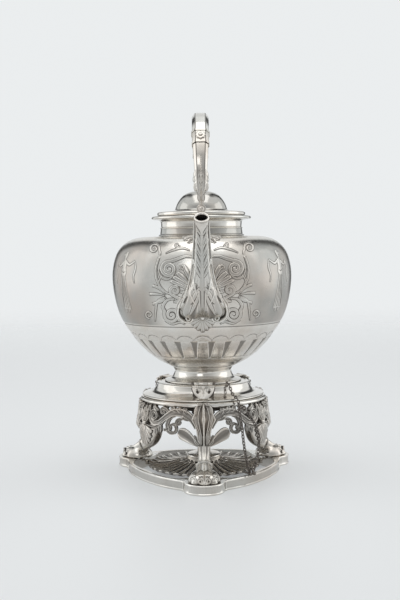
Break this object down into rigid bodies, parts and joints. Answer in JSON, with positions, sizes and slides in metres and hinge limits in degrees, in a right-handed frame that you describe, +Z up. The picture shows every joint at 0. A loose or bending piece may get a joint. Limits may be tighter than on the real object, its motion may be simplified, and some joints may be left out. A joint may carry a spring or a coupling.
{
  "type": "tea kettle on spirit lamp stand",
  "caption": "Silver tea kettle with swing handle, hinged lid and spout, on an openwork footed stand with a spirit lamp in a fluted dish.",
  "frame": {"origin": "on the floor under the middle of the object's box; the stand's and kettle's common axis is 23.7 mm behind it", "axes": "+Z up, -Y the way the spout points, +X to the right seen from the spout"},
  "size_m": [0.196, 0.2434, 0.3938],
  "materials": {
    "polished_silver": "hand polished silver with chased ornament and light tarnish",
    "cast_silver": "cast silver, oxidised in the recesses",
    "dark_steel": "dark worn metal",
    "cotton_wick": "braided cotton"
  },
  "bodies": {
    "stand": {"stand_collar": "polished_silver", "stand_ring": "polished_silver", "clasp_front": "polished_silver", "clasp_right": "polished_silver", "clasp_left": "polished_silver", "hinge_pin": "dark_steel", "leg_front": "polished_silver", "leg_right": "polished_silver", "leg_left": "polished_silver", "frieze_right": "cast_silver", "frieze_back": "cast_silver", "frieze_left": "cast_silver", "base_frame": "polished_silver", "leg_screw_front": "dark_steel", "leg_screw_right": "dark_steel", "leg_screw_left": "dark_steel", "dish_arm_front": "cast_silver", "dish_arm_right": "cast_silver", "dish_arm_left": "cast_silver", "drip_dish": "cast_silver", "chain_eye_collar": "cast_silver", "chain_eye_ring": "cast_silver", "pin_chain_left": "dark_steel", "pin_chain_right": "dark_steel", "lock_pin": "dark_steel"},
    "kettle": {"kettle_bowl": "polished_silver", "kettle_shoulder": "polished_silver", "belly_wire": "cast_silver", "kettle_foot": "polished_silver", "kettle_neck": "polished_silver", "spout": "polished_silver", "handle_bracket_front": "polished_silver", "handle_bracket_back": "polished_silver", "handle_rivet_front": "polished_silver", "handle_rivet_back": "polished_silver", "foot_knuckle_front": "polished_silver", "foot_knuckle_right": "polished_silver", "foot_knuckle_left": "polished_silver", "lid_hinge_lug": "polished_silver", "lid_hinge_pin": "dark_steel"},
    "lid": {"lid": "polished_silver", "lid_skirt": "polished_silver", "lid_hinge_leaf": "polished_silver", "lid_finial": "polished_silver", "lid_finial_nut": "cast_silver"},
    "handle": {"handle_branch_front": "polished_silver", "handle_branch_back": "polished_silver", "handle_clasp_front": "polished_silver", "handle_clasp_back": "polished_silver", "handle_grip": "polished_silver"},
    "lamp": {"lamp_font": "polished_silver", "wick_holder": "cast_silver", "wick": "cotton_wick"}
  },
  "joints": [
    {"name": "kettle_tilt", "type": "hinge", "parent": "stand", "child": "kettle", "pos_m": [0, -0.02683, 0.1056], "axis": [1, 0, 0], "range_deg": [0, 40]},
    {"name": "lid_swing", "type": "hinge", "parent": "kettle", "child": "lid", "pos_m": [0, 0.08017, 0.2856], "axis": [-1, 0, 0], "range_deg": [0, 45]},
    {"name": "handle_swing", "type": "hinge", "parent": "kettle", "child": "handle", "pos_m": [0, 0.02377, 0.289], "axis": [0, 1, 0], "range_deg": [-80, 80]},
    {"name": "lamp_lift", "type": "slide", "parent": "stand", "child": "lamp", "axis": [0, 0, 1], "range_m": [0, 0.03]}
  ]
}
